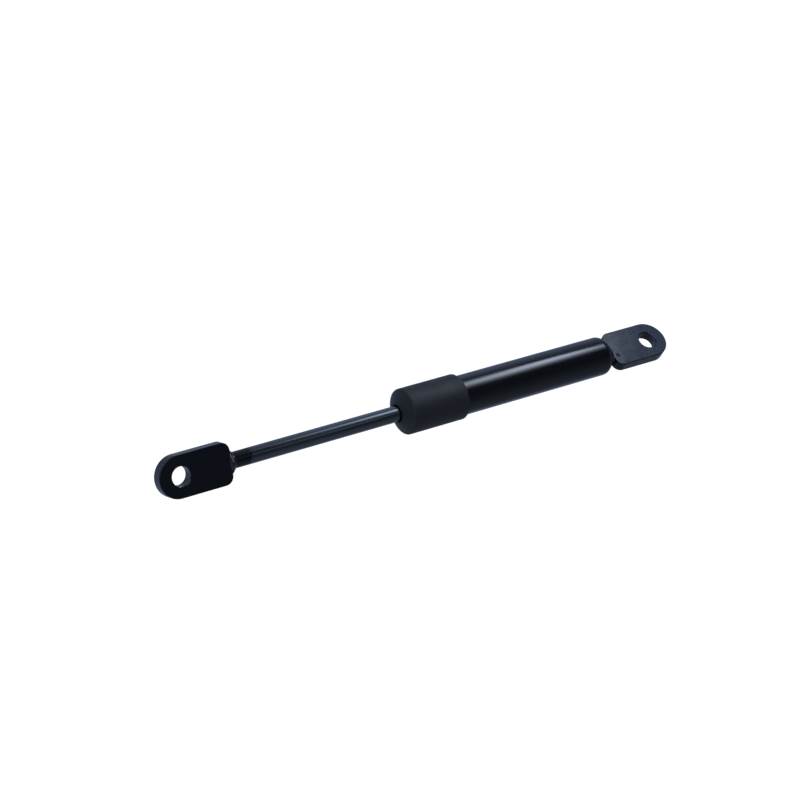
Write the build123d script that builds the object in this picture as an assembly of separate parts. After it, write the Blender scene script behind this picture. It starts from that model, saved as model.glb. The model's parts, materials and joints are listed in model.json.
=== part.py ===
"""Gas strut stay with flat welded eyes: a 6 mm rod in a 15 mm pressure tube, 60 mm stroke.

The strut lies along X. The origin is the centre of the rear eye's bore, +X runs to the rod end,
and +Z is the rear eye's bore axis. The rod is drawn fully out, against its extension stop, and
turned about its own axis by eye_twist, as it can freely be. All lengths are in millimetres.
"""

import os

from build123d import *

# Driving dimensions
extended_length = 207.8  # between the two eye bores, rod fully out
stroke = 60.0
eye_twist = -44.0  # the front eye's turn about +X from the rear eye, in degrees

# Eyes: flat blades cut from plate, the rod's a little longer than the tube's
eye_width = 15.4
eye_thickness = 4.3
eye_bore = 7.1
rear_tip = 8.1  # bore centre to the round end's tip
rear_reach = 18.9  # bore centre to the square shoulder
front_tip = 8.5
front_reach = 19.8
eye_corner = 3.2
eye_edge = 0.3  # rounded edges of the plate
bore_edge = 0.3
stake_mark_depth = 0.4
stake_mark_ball = 1.2  # radius of the ball-ended punch
stake_mark_inset = 2.2  # shoulder to the mark
stake_mark_offset = 3.1  # the mark's distance from the blade's centre line

# Pressure tube, closed by a rolled lip at each end
tube_outer = 7.5
tube_wall = 1.0
tube_inner = tube_outer - tube_wall
tube_rear = 20.9
tube_front = 114.1
rear_roll = 3.3
front_roll = 1.5
rear_opening = 4.0
front_opening = 4.4
bead_radius = 0.8
bead_depth = 0.6
bore_gap = 0.05  # between the tube's bore and the parts pushed into it

# Protective sleeve over the tube's rod end
sleeve_rear = 90.6
sleeve_front = 114.75
sleeve_nose = 117.8
sleeve_outer = 8.65
sleeve_opening = 3.3
sleeve_round = 0.9
sleeve_opening_round = 0.3
sleeve_rear_edge = 0.5

# Rear plug and its O-ring
plug_length = 6.4
plug_spigot = 3.5
plug_groove_width = 2.2
plug_groove_floor = 4.8
plug_groove_start = 3.0

# Weld collars where each eye meets its neck
collar_length = 1.4
collar_outer = 4.2
collar_bulge = 0.75  # how far along both sides the bead's middle stands; a flat one is 0.5

# Rod
rod_radius = 3.0
spigot_radius = 2.0
rivet_radius = 2.75
rivet_height = 1.1
rod_gap = 0.04  # between the rod and what it slides through

# Guide and seal pack, stacked back from the front lip
front_washer_length = 1.0
front_washer_bore = 3.7
guide_length = 5.5
liner_wall = 0.75
wiper_length = 1.6
wiper_outer = 4.9
seal_washer_length = 0.8
seal_length = 3.5
seal_lip_root = 4.3
retainer_length = 1.5
retainer_bore = 3.5
retainer_port = 0.6
retainer_port_circle = 4.75
buffer_length = 2.0
buffer_outer = 5.2
stop_gap = 0.05  # the rod's extension stop to the buffer

# Piston pack, stacked back from the rod's shoulder
stop_washer_length = 1.0
stop_washer_outer = 3.6
piston_length = 4.5
piston_outer = 6.35
piston_groove_width = 1.9
piston_groove_floor = 5.35
piston_port = 0.55
piston_port_circle = 4.3
port_count = 6
ring_side_gap = 0.1
disc_length = 0.3
disc_outer = 5.2
disc_orifice = 0.3
rear_washer_length = 1.0
rear_washer_outer = 3.7
fit_gap = 0.03  # between the rod's spigot and the parts on it

# Stations along the axis
plug_rear = tube_rear + tube_wall
plug_front = plug_rear + plug_length
pack_front = tube_front - tube_wall
guide_front = pack_front - front_washer_length
guide_rear = guide_front - guide_length
seal_front = guide_rear - seal_washer_length
seal_rear = seal_front - seal_length
retainer_rear = seal_rear - retainer_length
bead_centre = retainer_rear - bead_radius
buffer_rear = retainer_rear - buffer_length
stop_front = buffer_rear - stop_gap
piston_front = stop_front - stop_washer_length
piston_rear = piston_front - piston_length
disc_rear = piston_rear - disc_length
washer_rear = disc_rear - rear_washer_length
rivet_rear = washer_rear - rivet_height
front_shoulder = extended_length - front_reach

if rivet_rear - stroke < plug_front:
    raise ValueError("the piston pack would hit the rear plug before the end of the stroke")


def turned(outline, rounds=None):
    """A solid of revolution about X from (x, radius) corners; rounds maps a corner to its radius."""
    face = make_face(Polyline(*outline, close=True))
    for corner, radius in (rounds or {}).items():
        nearest = face.vertices().sort_by_distance((*outline[corner], 0))[0]
        face = fillet(nearest, radius)
    return revolve(face, Axis.X)


def ring(start, end, inner, outer):
    """A plain ring on the X axis."""
    return turned([(start, inner), (end, inner), (end, outer), (start, outer)])


def hole_along_x(start, end, radius, circle, angle):
    """A round hole parallel to X, set off from the axis by circle at the given angle."""
    place = Location((0, 0, 0), (angle, 0, 0)) * Location(((start + end) / 2, circle, 0), (0, 90, 0))
    return place * Cylinder(radius, end - start)


def ports(start, end, radius, circle, count=port_count):
    """Evenly spaced round holes parallel to X."""
    return [hole_along_x(start, end, radius, circle, 360 * k / count) for k in range(count)]


def o_ring(centre, floor, wall):
    """An O-ring that fills the space from a groove's floor to the wall round it."""
    section = (wall - floor) / 2 - fit_gap
    return revolve(Pos(centre, (wall + floor) / 2) * Circle(section), Axis.X)


def eye(tip, reach):
    """One blade, flat in XY, bore at the origin, round end at -tip and square shoulder at reach along X."""
    half = eye_width / 2
    end_centre = half - tip
    outline = make_face(
        Polyline((end_centre, half), (reach, half), (reach, -half), (end_centre, -half))
        + ThreePointArc((end_centre, -half), (-tip, 0), (end_centre, half))
    )
    shoulder_corners = outline.vertices().group_by(Axis.X)[-1]
    outline = fillet(shoulder_corners, eye_corner)
    blade = extrude(outline, eye_thickness / 2, both=True)
    rims = blade.faces().filter_by(Axis.Z)
    blade = fillet(rims.edges(), eye_edge)
    blade -= Cylinder(eye_bore / 2, 2 * eye_thickness)
    bore_rims = blade.edges().filter_by(GeomType.CIRCLE).filter_by(
        lambda edge: abs(edge.radius - eye_bore / 2) < 0.01 and edge.arc_center.length < eye_thickness
    )
    return chamfer(bore_rims, bore_edge)


def stake_mark():
    """The shallow round punch mark on the rear eye's upper face, by the shoulder."""
    ball_centre = eye_thickness / 2 - stake_mark_depth + stake_mark_ball
    return Pos(rear_reach - stake_mark_inset, stake_mark_offset, ball_centre) * Sphere(stake_mark_ball)


def turned_to_rod_end(blade):
    """An eye moved to the rod end: it faces the other way and takes the rod's twist."""
    return Rot(eye_twist, 0, 0) * Pos(extended_length, 0, 0) * Rot(0, 0, 180) * blade


def weld_collar(shoulder, direction, neck):
    """The bead of weld metal, bulging outwards, in the corner between an eye's shoulder and its neck."""
    tip = shoulder + direction * collar_length
    middle = shoulder + direction * collar_length * collar_bulge
    outline = Polyline((tip, neck), (shoulder, neck), (shoulder, collar_outer)) + ThreePointArc(
        (shoulder, collar_outer), (middle, neck + (collar_outer - neck) * collar_bulge), (tip, neck)
    )
    return revolve(make_face(outline), Axis.X)


def pressure_tube():
    """Steel tube with both ends rolled in, and a bead rolled in behind the seal pack."""
    rear_inner_roll = rear_roll - tube_wall
    front_inner_roll = front_roll - tube_wall
    outline = [
        (tube_rear, rear_opening),
        (tube_rear, tube_outer),
        (tube_front, tube_outer),
        (tube_front, front_opening),
        (pack_front, front_opening),
        (pack_front, tube_inner),
        (plug_rear, tube_inner),
        (plug_rear, rear_opening),
    ]
    rounds = {1: rear_roll, 2: front_roll, 5: front_inner_roll, 6: rear_inner_roll}
    shell = turned(outline, rounds)
    groove_centre = tube_outer + bead_radius - bead_depth
    groove = revolve(Pos(bead_centre, groove_centre) * Circle(bead_radius), Axis.X)
    bump_centre = tube_inner + bead_radius - bead_depth
    bump = revolve(Pos(bead_centre, bump_centre) * Circle(bead_radius), Axis.X)
    wall = ring(bead_centre - bead_radius, bead_centre + bead_radius, tube_inner - bead_depth, tube_outer)
    return (shell - groove) + ((bump & wall) - groove)


def rear_plug():
    """Plug held by the rear lip, with an O-ring groove and a spigot out to the rear eye."""
    outer = tube_inner - bore_gap
    groove_start = plug_rear + plug_groove_start
    groove_end = groove_start + plug_groove_width
    corner = rear_roll - tube_wall
    return turned(
        [
            (rear_reach, 0),
            (plug_front, 0),
            (plug_front, outer),
            (groove_end, outer),
            (groove_end, plug_groove_floor),
            (groove_start, plug_groove_floor),
            (groove_start, outer),
            (plug_rear + corner, outer),
            (plug_rear, outer - corner),
            (plug_rear, plug_spigot),
            (rear_reach, plug_spigot),
        ],
    )


def rear_plug_o_ring():
    """Seals the plug to the tube."""
    centre = plug_rear + plug_groove_start + plug_groove_width / 2
    return o_ring(centre, plug_groove_floor, tube_inner)


def protective_sleeve():
    """Black cover pushed over the tube's rod end, with a conical nose closing on to the rod."""
    bore = tube_outer + fit_gap
    outline = [
        (sleeve_rear, bore),
        (sleeve_rear, sleeve_outer),
        (sleeve_front, sleeve_outer),
        (sleeve_nose, sleeve_opening),
        (tube_front, sleeve_opening),
        (tube_front, bore),
    ]
    shell = turned(outline, {2: sleeve_round, 3: sleeve_opening_round})
    rim = shell.edges().filter_by(GeomType.CIRCLE).group_by(Axis.X)[0].sort_by(SortBy.RADIUS)[-1]
    return chamfer(rim, sleeve_rear_edge)


def front_washer():
    """Steel disc under the front lip that carries the gas load of the pack."""
    return ring(guide_front, pack_front, front_washer_bore, tube_inner - front_roll / 2)


def rod_guide():
    """Guide body: seats the liner and, at the front, the wiper."""
    outer = tube_inner - bore_gap
    liner_outer = rod_radius + rod_gap + liner_wall
    wiper_seat = guide_front - wiper_length
    return turned(
        [
            (guide_rear, liner_outer + fit_gap),
            (wiper_seat, liner_outer + fit_gap),
            (wiper_seat, wiper_outer + fit_gap),
            (guide_front, wiper_outer + fit_gap),
            (guide_front, outer),
            (guide_rear, outer),
        ],
        {4: front_roll - tube_wall},
    )


def guide_liner():
    """Low-friction bush that the rod runs in."""
    inner = rod_radius + rod_gap
    return ring(guide_rear, guide_front - wiper_length, inner, inner + liner_wall)


def wiper_ring():
    """Keeps dirt off the rod: a ring with one lip that points outwards."""
    inner = rod_radius + rod_gap
    start = guide_front - wiper_length
    end = guide_front
    return turned(
        [
            (start, inner + 0.7),
            (end - 0.3, inner),
            (end, inner),
            (end, inner + 0.4),
            (end - 0.7, inner + 1.0),
            (end - 0.7, wiper_outer),
            (start, wiper_outer),
        ],
    )


def seal_washer():
    """Steel disc that backs the rod seal."""
    return ring(seal_front, guide_rear, rod_radius + 0.25, tube_inner - bore_gap)


def rod_seal():
    """Lip seal: one block with an inner lip on the rod and an outer lip on the tube."""
    inner = rod_radius + rod_gap
    outer = tube_inner - bore_gap
    notch = seal_rear + seal_length * 0.55
    return turned(
        [
            (seal_front, inner + 0.35),
            (seal_rear + 1.1, inner + 0.3),
            (seal_rear + 0.6, inner),
            (seal_rear, inner + 0.25),
            (seal_rear, inner + 0.75),
            (notch, seal_lip_root),
            (notch, seal_lip_root + 0.6),
            (seal_rear, outer - 0.6),
            (seal_rear, outer),
            (seal_front, outer),
        ],
    )


def seal_retainer():
    """Disc on the pressure side of the seal, with ports that let the gas reach its lips."""
    disc = ring(retainer_rear, seal_rear, retainer_bore, tube_inner - bore_gap)
    return disc - ports(retainer_rear - 1, seal_rear + 1, retainer_port, retainer_port_circle)


def rebound_buffer():
    """Soft ring that the rod's stop washer meets at full extension."""
    return turned(
        [
            (buffer_rear, rod_radius + 0.2),
            (retainer_rear, rod_radius + 0.2),
            (retainer_rear, buffer_outer),
            (buffer_rear, buffer_outer),
        ],
        {2: 0.5, 3: 0.5},
    )


def piston_rod():
    """Ground rod: flat end at the front eye, reduced spigot with a riveted head at the piston."""
    return turned(
        [
            (rivet_rear, 0),
            (front_shoulder, 0),
            (front_shoulder, rod_radius),
            (stop_front, rod_radius),
            (stop_front, spigot_radius),
            (washer_rear, spigot_radius),
            (washer_rear, rivet_radius),
            (rivet_rear + rivet_height * 0.4, rivet_radius),
            (rivet_rear, rivet_radius * 0.55),
        ],
    )


def stop_washer():
    """The rod's extension stop, between its shoulder and the piston."""
    return ring(piston_front, stop_front, spigot_radius + fit_gap, stop_washer_outer)


def piston():
    """Piston with a groove for its ring and a circle of gas ports."""
    groove_centre = (piston_front + piston_rear) / 2
    groove_start = groove_centre - piston_groove_width / 2
    groove_end = groove_centre + piston_groove_width / 2
    body = turned(
        [
            (piston_rear, spigot_radius + fit_gap),
            (piston_front, spigot_radius + fit_gap),
            (piston_front, piston_outer),
            (groove_end, piston_outer),
            (groove_end, piston_groove_floor),
            (groove_start, piston_groove_floor),
            (groove_start, piston_outer),
            (piston_rear, piston_outer),
        ],
    )
    return body - ports(piston_rear - 1, piston_front + 1, piston_port, piston_port_circle)


def piston_ring():
    """Ring that seals the piston to the bore; the piston can turn inside it."""
    centre = (piston_front + piston_rear) / 2
    half = piston_groove_width / 2 - ring_side_gap
    return turned(
        [
            (centre - half, piston_groove_floor + ring_side_gap),
            (centre + half, piston_groove_floor + ring_side_gap),
            (centre + half, tube_inner - bore_gap),
            (centre - half, tube_inner - bore_gap),
        ],
        {2: 0.3, 3: 0.3},
    )


def orifice_disc():
    """Thin disc clamped over the piston's ports, with one small bleed hole that sets the speed."""
    disc = ring(disc_rear, piston_rear, spigot_radius + fit_gap, disc_outer)
    return disc - hole_along_x(disc_rear - 1, piston_rear + 1, disc_orifice, piston_port_circle, 0)


def rear_washer():
    """Washer under the riveted head."""
    return ring(washer_rear, disc_rear, spigot_radius + fit_gap, rear_washer_outer)


NODES = {
    "rear_eye": lambda: eye(rear_tip, rear_reach) - stake_mark(),
    "rear_weld_collar": lambda: weld_collar(rear_reach, 1, plug_spigot),
    "rear_plug": rear_plug,
    "rear_plug_o_ring": rear_plug_o_ring,
    "pressure_tube": pressure_tube,
    "protective_sleeve": protective_sleeve,
    "front_washer": front_washer,
    "wiper_ring": wiper_ring,
    "rod_guide": rod_guide,
    "guide_liner": guide_liner,
    "seal_washer": seal_washer,
    "rod_seal": rod_seal,
    "seal_retainer": seal_retainer,
    "rebound_buffer": rebound_buffer,
    "piston_rod": piston_rod,
    "stop_washer": stop_washer,
    "piston": piston,
    "piston_ring": piston_ring,
    "orifice_disc": orifice_disc,
    "rear_washer": rear_washer,
    "front_weld_collar": lambda: weld_collar(front_shoulder, -1, rod_radius),
    "front_eye": lambda: turned_to_rod_end(eye(front_tip, front_reach)),
}

os.makedirs("parts", exist_ok=True)
for node, build in NODES.items():
    export_step(build(), f"parts/{node}.step")
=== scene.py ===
"""Looks of the gas strut stay: materials for every piece, rippled weld beads, studio and camera."""

import json
import math
import random

import bmesh
import bpy
from mathutils import Matrix, Vector


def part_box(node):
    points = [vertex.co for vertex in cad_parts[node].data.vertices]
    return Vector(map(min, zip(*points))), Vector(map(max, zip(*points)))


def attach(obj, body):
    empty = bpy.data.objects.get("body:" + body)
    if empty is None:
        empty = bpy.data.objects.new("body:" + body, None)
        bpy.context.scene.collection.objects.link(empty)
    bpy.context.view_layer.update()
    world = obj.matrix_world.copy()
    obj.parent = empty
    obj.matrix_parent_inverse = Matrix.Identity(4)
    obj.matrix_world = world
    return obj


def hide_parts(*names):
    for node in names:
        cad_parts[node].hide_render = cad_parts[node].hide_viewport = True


MM = 0.001

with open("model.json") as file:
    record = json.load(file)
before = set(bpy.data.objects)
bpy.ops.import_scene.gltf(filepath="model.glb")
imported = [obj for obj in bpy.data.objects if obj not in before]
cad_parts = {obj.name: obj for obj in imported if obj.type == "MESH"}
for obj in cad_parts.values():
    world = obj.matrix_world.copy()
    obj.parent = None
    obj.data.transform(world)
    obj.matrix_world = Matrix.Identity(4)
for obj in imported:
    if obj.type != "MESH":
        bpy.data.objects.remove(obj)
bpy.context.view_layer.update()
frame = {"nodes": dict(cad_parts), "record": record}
mounts = {m["name"]: m for m in frame["record"]["mounts"]}


# ---------------------------------------------------------------- node graphs

class Graph:
    """Adds nodes to a node tree, with values or links for their inputs."""

    def __init__(self, tree):
        self.tree = tree
        self.tree.nodes.clear()

    def put(self, socket, value):
        if isinstance(value, bpy.types.NodeSocket):
            self.tree.links.new(value, socket)
        else:
            socket.default_value = value

    def add(self, kind, inputs=None, **settings):
        node = self.tree.nodes.new(kind)
        for name, value in settings.items():
            setattr(node, name, value)
        for name, value in (inputs or {}).items():
            self.put(node.inputs[name], value)
        return node

    def place(self):
        """The point on the piece, in metres in the row frame."""
        return self.add("ShaderNodeTexCoord").outputs["Object"]

    def along(self):
        """The place along the strut, in metres."""
        return self.add("ShaderNodeSeparateXYZ", {"Vector": self.place()}).outputs["X"]

    def noise(self, size, detail=3.0, rough=0.55, stretch=(1, 1, 1)):
        """Noise with blobs of about size metres, longer by stretch along each axis."""
        scale = tuple(1 / s for s in stretch)
        place = self.add("ShaderNodeMapping", {"Vector": self.place(), "Scale": scale}).outputs["Vector"]
        return self.add(
            "ShaderNodeTexNoise",
            {"Vector": place, "Scale": 1 / size, "Detail": detail, "Roughness": rough},
        ).outputs["Fac"]

    def ramp(self, value, low, high, to_low=0.0, to_high=1.0, smooth=False):
        """value mapped from low..high to to_low..to_high, held at both ends."""
        return self.add(
            "ShaderNodeMapRange",
            {"Value": value, "From Min": low, "From Max": high, "To Min": to_low, "To Max": to_high},
            interpolation_type="SMOOTHSTEP" if smooth else "LINEAR",
        ).outputs["Result"]

    def curve(self, value, points):
        """value mapped through straight lines between points, held at both ends."""
        result = points[0][1]
        for (start, low), (end, high) in zip(points, points[1:]):
            result = self.math("ADD", result, self.ramp(value, start, end, 0.0, high - low))
        return result

    def math(self, operation, a, b=0.0):
        return self.add("ShaderNodeMath", {0: a, 1: b}, operation=operation).outputs["Value"]

    def times(self, first, *others):
        for other in others:
            first = self.math("MULTIPLY", first, other)
        return first

    def mix(self, share, a, b):
        """Colour a where share is 0 and b where it is 1."""
        node = self.add("ShaderNodeMix", data_type="RGBA")
        self.put(node.inputs[0], share)
        self.put(node.inputs[6], a)
        self.put(node.inputs[7], b)
        return node.outputs[2]

    def blend(self, share, a, b):
        """Number a where share is 0 and b where it is 1."""
        node = self.add("ShaderNodeMix", data_type="FLOAT")
        self.put(node.inputs[0], share)
        self.put(node.inputs[2], a)
        self.put(node.inputs[3], b)
        return node.outputs[0]

    def bump(self, height, depth, under=None):
        """A bump whose full height is depth metres, on top of the normal under."""
        inputs = {"Height": height, "Distance": depth, "Strength": 1.0}
        if under:
            inputs["Normal"] = under
        return self.add("ShaderNodeBump", inputs).outputs["Normal"]

    def surface(self, **inputs):
        shader = self.add("ShaderNodeBsdfPrincipled", {k.replace("_", " "): v for k, v in inputs.items()})
        self.output(shader.outputs["BSDF"], "ShaderNodeOutputMaterial")

    def output(self, shader, kind):
        self.add(kind, {"Surface": shader})


def new_material(name):
    material = bpy.data.materials.new(name)
    material.use_nodes = True
    return material, Graph(material.node_tree)


def cool(value, blue=1.3):
    """A dark colour that is bluer by the factor blue."""
    return (value, value * (1 + blue) / 2, value * blue, 1)


def shade(colour, factor):
    return tuple(c * factor for c in colour[:3]) + (1,)


# ---------------------------------------------------------------- materials

def tube_paint():
    """Gloss black enamel: orange peel, hairline scratches and a faint haze."""
    material, g = new_material("tube_paint")
    peel = g.noise(1.5 * MM, detail=2.0, stretch=(1.6, 1, 1))
    haze = g.noise(14 * MM, stretch=(3, 1, 1))
    hairlines = g.ramp(g.noise(0.25 * MM, detail=4.0, stretch=(60, 1, 1)), 0.62, 0.72)
    rough = g.math("ADD", g.ramp(haze, 0.3, 0.7, 0.11, 0.16), g.times(hairlines, 0.05))
    g.surface(
        Base_Color=g.mix(haze, cool(0.003), cool(0.005)),
        Roughness=rough,
        Normal=g.bump(hairlines, -0.0006 * MM, g.bump(peel, 0.004 * MM)),
    )
    return material


def plate_paint(name, axis, face_rough):
    """Black dip paint on a plate that is flat across axis, worn lighter in patches round its rims."""
    material, g = new_material(name)
    normal = g.add("ShaderNodeTexCoord").outputs["Normal"]
    flatness = g.add("ShaderNodeVectorMath", {0: normal, 1: axis}, operation="DOT_PRODUCT").outputs["Value"]
    flatness = g.math("ABSOLUTE", flatness)
    face = g.ramp(flatness, 0.8, 0.98, smooth=True)
    side = g.ramp(flatness, 0.35, 0.1, smooth=True)
    rim = g.math("SUBTRACT", 1.0, g.math("MAXIMUM", face, side))
    worn = g.times(rim, g.ramp(g.noise(0.8 * MM, detail=4.0), 0.5, 0.62))
    cloud = g.noise(5 * MM)
    peel = g.noise(0.7 * MM, detail=3.0)
    rolled = g.noise(0.35 * MM, detail=3.0, stretch=(12, 1, 1))
    paint = g.mix(cloud, cool(0.0012, 3), cool(0.0025, 3))
    rough = g.ramp(cloud, 0.3, 0.7, face_rough, face_rough + 0.05)
    g.surface(
        Base_Color=g.mix(worn, paint, cool(0.03)),
        Roughness=g.blend(side, rough, g.ramp(cloud, 0.3, 0.7, 0.22, 0.32)),
        Normal=g.bump(rolled, 0.001 * MM, g.bump(peel, 0.003 * MM)),
    )
    return material


def weld_paint():
    """Gloss black enamel over weld metal, with pits and spatter under it."""
    material, g = new_material("weld_bead")
    lumps = g.noise(0.45 * MM, detail=4.0)
    cloud = g.noise(1.5 * MM)
    g.surface(
        Base_Color=g.mix(cloud, cool(0.004), cool(0.009)),
        Specular_IOR_Level=1.0,
        Roughness=g.ramp(cloud, 0.3, 0.7, 0.05, 0.12),
        Normal=g.bump(lumps, 0.03 * MM),
    )
    return material


def plug_paint():
    """Black paint that ran into the gap behind the rear eye, rougher than on the tube."""
    material, g = new_material("plug_steel")
    run = g.noise(0.8 * MM, stretch=(3, 1, 1))
    g.surface(
        Base_Color=g.mix(run, cool(0.003), cool(0.006)),
        Roughness=g.ramp(run, 0.3, 0.7, 0.3, 0.45),
        Normal=g.bump(run, 0.02 * MM),
    )
    return material


def sleeve_plastic():
    """Satin black moulded plastic: fine eroded grain, faint flow clouds and a few rub marks."""
    material, g = new_material("sleeve_plastic")
    grain = g.noise(0.18 * MM, detail=2.0)
    flow = g.noise(7 * MM, stretch=(1, 2, 2))
    rubs = g.ramp(g.noise(0.5 * MM, detail=4.0, stretch=(14, 1, 1)), 0.6, 0.75)
    rough = g.math("SUBTRACT", g.ramp(flow, 0.3, 0.7, 0.58, 0.64), g.times(rubs, 0.08))
    g.surface(
        Base_Color=g.mix(flow, cool(0.0035, 1.4), cool(0.0055, 1.4)),
        Specular_IOR_Level=0.8,
        Roughness=rough,
        Normal=g.bump(grain, 0.004 * MM),
    )
    return material


def rod_steel():
    """Ground and nitrided rod, with black paint over the end that was welded to the eye."""
    material, g = new_material("rod_steel")
    paint_length = 7.5 * MM
    fade = 1.2 * MM
    slant = 0.3
    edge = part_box("front_weld_collar")[0].x - paint_length
    drift = g.ramp(g.noise(2.5 * MM, detail=4.0), 0.3, 0.7, -0.9 * MM, 0.9 * MM)
    lean = g.times(g.add("ShaderNodeSeparateXYZ", {"Vector": g.place()}).outputs["Y"], -slant)
    reach = g.math("ADD", g.along(), g.math("ADD", drift, lean))
    painted = g.ramp(reach, edge, edge + fade, smooth=True)
    ground = g.noise(0.12 * MM, detail=3.0, stretch=(1, 30, 30))
    temper = g.noise(9 * MM, stretch=(2, 1, 1))
    bare = g.mix(temper, cool(0.12, 1.15), cool(0.15, 1.15))
    g.surface(
        Base_Color=g.mix(painted, bare, cool(0.002)),
        Metallic=g.math("SUBTRACT", 1.0, painted),
        Roughness=g.blend(painted, g.ramp(temper, 0.3, 0.7, 0.13, 0.18), 0.2),
        Normal=g.bump(ground, 0.0002 * MM),
    )
    return material


def bare_metal(name, colour, rough):
    """Turned or stamped metal inside the strut."""
    material, g = new_material(name)
    turning = g.noise(0.3 * MM, detail=4.0, stretch=(1, 10, 10))
    stain = g.noise(3 * MM)
    g.surface(
        Base_Color=g.mix(stain, colour, shade(colour, 0.8)),
        Metallic=1.0,
        Roughness=g.ramp(turning, 0.3, 0.7, rough, rough + 0.12),
        Normal=g.bump(turning, 0.002 * MM),
    )
    return material


def soft_part(name, colour, rough):
    """Rubber or plastic inside the strut."""
    material, g = new_material(name)
    grain = g.noise(0.4 * MM)
    g.surface(
        Base_Color=g.mix(grain, colour, shade(colour, 1.3)),
        Roughness=g.ramp(grain, 0.3, 0.7, rough, rough + 0.1),
        Normal=g.bump(grain, 0.003 * MM),
    )
    return material


def paint_nodes():
    """Gives every CAD node the material of its record slot, each eye its own for its plate's axis."""
    by_slot = {
        "tube_paint": tube_paint(),
        "weld_bead": weld_paint(),
        "plug_steel": plug_paint(),
        "sleeve_plastic": sleeve_plastic(),
        "rod_steel": rod_steel(),
        "washer_steel": bare_metal("washer_steel", (0.5, 0.5, 0.5, 1), 0.3),
        "piston_pack_steel": bare_metal("piston_pack_steel", (0.42, 0.42, 0.44, 1), 0.3),
        "guide_aluminium": bare_metal("guide_aluminium", (0.6, 0.6, 0.62, 1), 0.3),
        "piston_aluminium": bare_metal("piston_aluminium", (0.58, 0.58, 0.6, 1), 0.28),
        "liner_bronze": bare_metal("liner_bronze", (0.45, 0.3, 0.14, 1), 0.35),
        "ring_plastic": soft_part("ring_plastic", (0.75, 0.74, 0.7, 1), 0.4),
        "buffer_plastic": soft_part("buffer_plastic", (0.6, 0.12, 0.08, 1), 0.4),
        "seal_rubber": soft_part("seal_rubber", (0.02, 0.02, 0.02, 1), 0.5),
    }
    by_node = {
        "rear_eye": plate_paint("rear_eye_paint", mounts["rear_eye_bore"]["axis"], 0.1),
        "front_eye": plate_paint("front_eye_paint", mounts["front_eye_bore"]["axis"], 0.22),
    }
    slots = {s["node"]: s["material_slot"] for s in frame["record"]["subparts"]}
    for node, piece in frame["nodes"].items():
        for index in range(len(piece.material_slots)):
            piece.material_slots[index].material = by_node.get(node) or by_slot[slots[node]]
    return by_slot


materials = paint_nodes()


# ---------------------------------------------------------------- weld beads

def weld_bead(name, collar, eye, body, neck, width, towards_neck, seed):
    """A rippled bead from the neck's surface to the eye's square end, lapping over both plate faces.

    collar and eye are CAD nodes, neck the neck's radius, width how far the bead stands out from the
    neck on the plate, and towards_neck +1 or -1 along X. The bead is a ring of closed sections.
    """
    axis = Vector(mounts[f"{eye}_bore"]["axis"])
    chance = random.Random(seed)
    lowest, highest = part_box(collar)
    shoulder = lowest.x if towards_neck > 0 else highest.x
    length = highest.x - lowest.x
    half_plate = plate_thickness(eye, axis) / 2
    reach = neck + width
    lap = 0.8 * MM  # how far it runs over the plate's faces
    root = 0.35 * MM  # how deep it is sunk into neck and plate
    ripple_height = 0.16 * MM
    sections, points, ripples = 180, 11, 15
    across = Vector((1, 0, 0)).cross(axis)
    wander = [(chance.uniform(0.02, 0.05), k, chance.uniform(0, math.tau)) for k in (1, 2, 3, 5)]

    mesh = bmesh.new()
    rings = []
    for i in range(sections):
        angle = math.tau * i / sections
        outward = across * math.cos(angle) + axis * math.sin(angle)
        swell = 1 + sum(size * math.sin(k * angle + phase) for size, k, phase in wander)
        face_radius = half_plate / max(abs(math.sin(angle)), 1e-6)
        over = min(1.0, max(0.0, (reach - face_radius) / (reach - half_plate)))
        over = over * over * (3 - 2 * over)
        start = Vector((length * swell, neck))
        end = Vector((-lap * over * swell, min(reach * swell, face_radius)))
        crown = Vector((
            length * (0.42 - 0.2 * over) * swell,
            neck + (0.9 - 0.2 * over) * width * swell,
        ))
        ring = []
        for j in range(points):
            t = j / (points - 1)
            flat = start * (1 - t) ** 2 + crown * (2 * t * (1 - t)) + end * t ** 2
            scale_wave = (ripples * angle / math.tau + 0.55 * t * t) % 1.0
            bulge = ripple_height * math.sin(math.pi * t) * (scale_wave ** 0.5 - 0.5)
            ring.append((flat.x + bulge * 0.5, flat.y + bulge))
        ring.append((ring[-1][0] - root * (1 - over), ring[-1][1] - root * over))
        ring.append((-lap * over - root, half_plate * 0.5))
        ring.append((length * 0.9, neck - root))
        rings.append([
            mesh.verts.new(Vector((shoulder + towards_neck * x, 0, 0)) + outward * radius)
            for x, radius in ring
        ])
    for i, ring in enumerate(rings):
        following = rings[(i + 1) % sections]
        for j in range(len(ring)):
            k = (j + 1) % len(ring)
            mesh.faces.new((ring[j], ring[k], following[k], following[j]))
    bmesh.ops.recalc_face_normals(mesh, faces=mesh.faces)
    data = bpy.data.meshes.new(name)
    mesh.to_mesh(data)
    mesh.free()
    data.shade_smooth()
    data.materials.append(materials["weld_bead"])
    bead = bpy.data.objects.new(name, data)
    bpy.context.scene.collection.objects.link(bead)
    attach(bead, body)
    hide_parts(collar)


def plate_thickness(eye, axis):
    """The eye plate's thickness, measured along its bore axis."""
    heights = [vertex.co.dot(axis) for vertex in frame["nodes"][eye].data.vertices]
    return max(heights) - min(heights)


SPIGOT_RADIUS = 3.5 * MM
ROD_RADIUS = 3 * MM

weld_bead("rear_weld_bead", "rear_weld_collar", "rear_eye", "cylinder", SPIGOT_RADIUS, 0.8 * MM, 1, seed=3)
weld_bead("front_weld_bead", "front_weld_collar", "front_eye", "rod", ROD_RADIUS, 1.25 * MM, -1, seed=8)


# ---------------------------------------------------------------- studio

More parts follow.
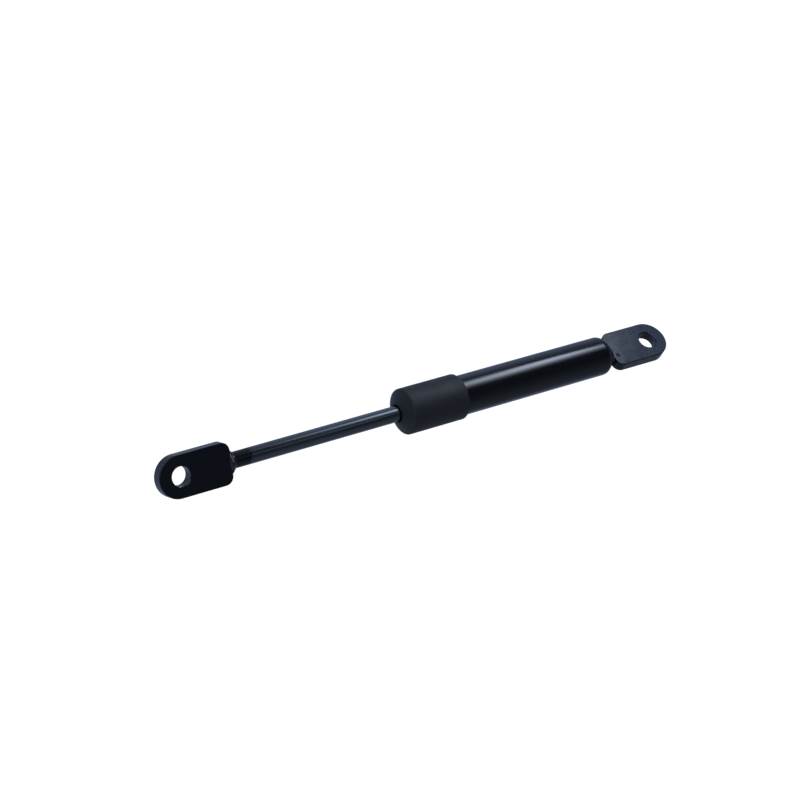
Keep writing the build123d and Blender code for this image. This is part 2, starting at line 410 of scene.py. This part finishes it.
WHITE_TO_CAMERA = 1.1
ROOM_COLOUR = (0.9, 1.07, 1.45, 1)
WINDOW_COLOUR = (0.72, 0.95, 1.45, 1)
KEY_COLOUR = (0.85, 0.96, 1.2, 1)
SKY_COLOUR = (0.55, 0.8, 1.4, 1)


def seen_by_camera(g, colour, strength):
    """Plain white to the camera, and the given colour and strength to light and reflections."""
    is_camera = g.add("ShaderNodeLightPath").outputs["Is Camera Ray"]
    shown = g.add("ShaderNodeEmission", {"Color": (1, 1, 1, 1), "Strength": WHITE_TO_CAMERA})
    other = g.add("ShaderNodeEmission", {"Color": colour, "Strength": strength})
    return g.add(
        "ShaderNodeMixShader", {0: is_camera, 1: other.outputs["Emission"], 2: shown.outputs["Emission"]}
    ).outputs["Shader"]


def floor():
    """A plain pale floor, well below the strut, that glows: plain white to the camera, and to light and
    reflections a painted pool of window light, brighter on the -Y side.
    """
    drop, size = 0.12, 6
    far_level, near_low, near_high = 0.19, 0.22, 0.42
    bpy.ops.mesh.primitive_plane_add(size=size, location=(0.1, 0, -drop))
    plane = bpy.context.object
    plane.name = "floor"
    material, g = new_material("floor")
    depth = g.add("ShaderNodeSeparateXYZ", {"Vector": g.place()}).outputs["Y"]
    far = g.ramp(depth, -0.05, 0.12, smooth=True)
    colour = g.mix(far, WINDOW_COLOUR, ROOM_COLOUR)
    # painted window light: the floor's glow to light and reflections rises towards -Y
    near = g.ramp(depth, -0.6, -0.2, near_low, near_high)
    g.output(seen_by_camera(g, colour, g.blend(far, near, far_level)), "ShaderNodeOutputMaterial")
    plane.data.materials.append(material)


def backdrop():
    """White to the camera; to reflections, a dim room that is about three times brighter low down."""
    world = bpy.data.worlds.new("studio")
    bpy.context.scene.world = world
    world.use_nodes = True
    g = Graph(world.node_tree)
    direction = g.add("ShaderNodeTexCoord").outputs["Generated"]
    height = g.add("ShaderNodeSeparateXYZ", {"Vector": direction}).outputs["Z"]
    strength = g.ramp(height, -0.2, 0.6, 0.2, 0.06)
    g.output(seen_by_camera(g, ROOM_COLOUR, strength), "ShaderNodeOutputWorld")


def area_light(name, centre, size, tilt, colour, radiance):
    """A rectangular light, facing down and then tilted about X, with radiance set by its graph.

    radiance takes the graph and the world X, Y, Z of the point on the light.
    """
    light = bpy.data.lights.new(name, "AREA")
    light.shape = "RECTANGLE"
    light.size, light.size_y = size
    light.energy = math.pi * light.size * light.size_y
    light.use_nodes = True
    g = Graph(light.node_tree)
    place = g.add("ShaderNodeNewGeometry").outputs["Position"]
    place = g.add("ShaderNodeSeparateXYZ", {"Vector": place}).outputs
    strength = radiance(g, place["X"], place["Y"], place["Z"])
    shader = g.add("ShaderNodeEmission", {"Color": colour, "Strength": strength}).outputs["Emission"]
    g.output(shader, "ShaderNodeOutputLight")
    lamp = bpy.data.objects.new(name, light)
    lamp.location = centre
    lamp.rotation_euler.x = tilt
    bpy.context.scene.collection.objects.link(lamp)


def overhead_panel(name, colour, half_width, stops):
    """A soft band of light above the strut that follows stops of (x, y of its middle, radiance)."""
    height = 0.3
    margin = 2.5 * half_width  # the band has faded to about one per cent here
    low_x, high_x = stops[0][0], stops[-1][0]
    low_y = min(y for _, y, _ in stops) - margin
    high_y = max(y for _, y, _ in stops) + margin

    def radiance(g, x, y, z):
        off = g.math("SUBTRACT", y, g.curve(x, [(at, middle) for at, middle, _ in stops]))
        off = g.math("DIVIDE", off, half_width)
        bell = g.math("POWER", 0.5, g.times(off, off))
        return g.times(bell, g.curve(x, [(at, level) for at, _, level in stops]))

    centre = ((low_x + high_x) / 2, (low_y + high_y) / 2, height)
    area_light(name, centre, (high_x - low_x, high_y - low_y), 0, colour, radiance)


def window():
    """The wide dim light on the -Y side, strongest a quarter of a metre past the rear eye, fading upwards."""
    distance, middle, width = 0.62, -0.2, 1.0
    bottom, fade_from, top = -0.1, 0.29, 0.85
    stops = [  # x and radiance
        (-0.7, 0.15),
        (-0.44, 0.24),
        (-0.35, 0.28),
        (-0.25, 0.42),
        (-0.18, 0.25),
        (-0.1, 0.1),
    ]

    def radiance(g, x, y, z):
        return g.times(g.curve(x, stops), g.ramp(z, fade_from, top, 1, 0))

    centre = (middle, -distance, (bottom + top) / 2)
    area_light("window", centre, (width, top - bottom), math.pi / 2, WINDOW_COLOUR, radiance)


def fill_panel():
    """The broad overhead light that shows the strut's other sides."""
    centre, size = (0.5, 0, 0.6), (0.7, 1.4)
    dark_until, full_from, level = 0.15, 0.35, 0.8

    def radiance(g, x, y, z):
        return g.ramp(x, dark_until, full_from, 0, level)

    area_light("fill", centre, size, 0, ROOM_COLOUR, radiance)


def lights():
    """The long softbox whose streak runs down the tube and rod, and the dimmer light around it."""
    overhead_panel("key", KEY_COLOUR, 0.07, [
        (-0.229, -0.21, 0),
        (-0.217, -0.205, 8.5),
        (-0.185, -0.168, 8.6),
        (-0.143, -0.138, 6.9),
        (-0.1, -0.125, 4.2),
        (-0.062, -0.114, 2.0),
        (-0.039, -0.12, 1.05),
        (-0.014, -0.137, 0.55),
        (0.011, -0.157, 0.25),
        (0.022, -0.16, 0),
    ])
    overhead_panel("sky", SKY_COLOUR, 0.09, [
        (-0.36, -0.165, 0.8),
        (-0.275, -0.165, 0.9),
        (-0.238, -0.165, 0.6),
        (-0.226, -0.165, 0),
    ])
    overhead_panel("glow", ROOM_COLOUR, 0.06, [
        (-0.08, 0.14, 0),
        (-0.062, 0.14, 0.3),
        (-0.04, 0.14, 0.26),
        (-0.014, 0.15, 0.17),
        (0.011, 0.15, 0.12),
        (0.03, 0.15, 0.2),
        (0.06, 0.15, 0),
    ])
    window()
    fill_panel()


floor()
backdrop()
lights()


# ---------------------------------------------------------------- camera

def camera():
    """The photograph's angle: round to azimuth, up to elevation, then rolled about the view line."""
    azimuth, elevation, roll = math.radians(128.84), math.radians(48.65), math.radians(27.28)
    target = Vector((114.6, -3.9, 2.15)) * MM
    distance = 804.3 * MM
    back = Vector((
        math.sin(azimuth) * math.cos(elevation),
        -math.cos(azimuth) * math.cos(elevation),
        math.sin(elevation),
    ))
    data = bpy.data.cameras.new("camera")
    data.lens = 99.47
    data.sensor_width = 36
    data.clip_start = 0.01
    eye = bpy.data.objects.new("camera", data)
    bpy.context.scene.collection.objects.link(eye)
    level = back.to_track_quat("Z", "Y").to_matrix().to_4x4()
    eye.matrix_world = Matrix.Translation(target + back * distance) @ level @ Matrix.Rotation(roll, 4, "Z")
    bpy.context.scene.camera = eye


camera()
bpy.context.scene.view_settings.view_transform = "Standard"
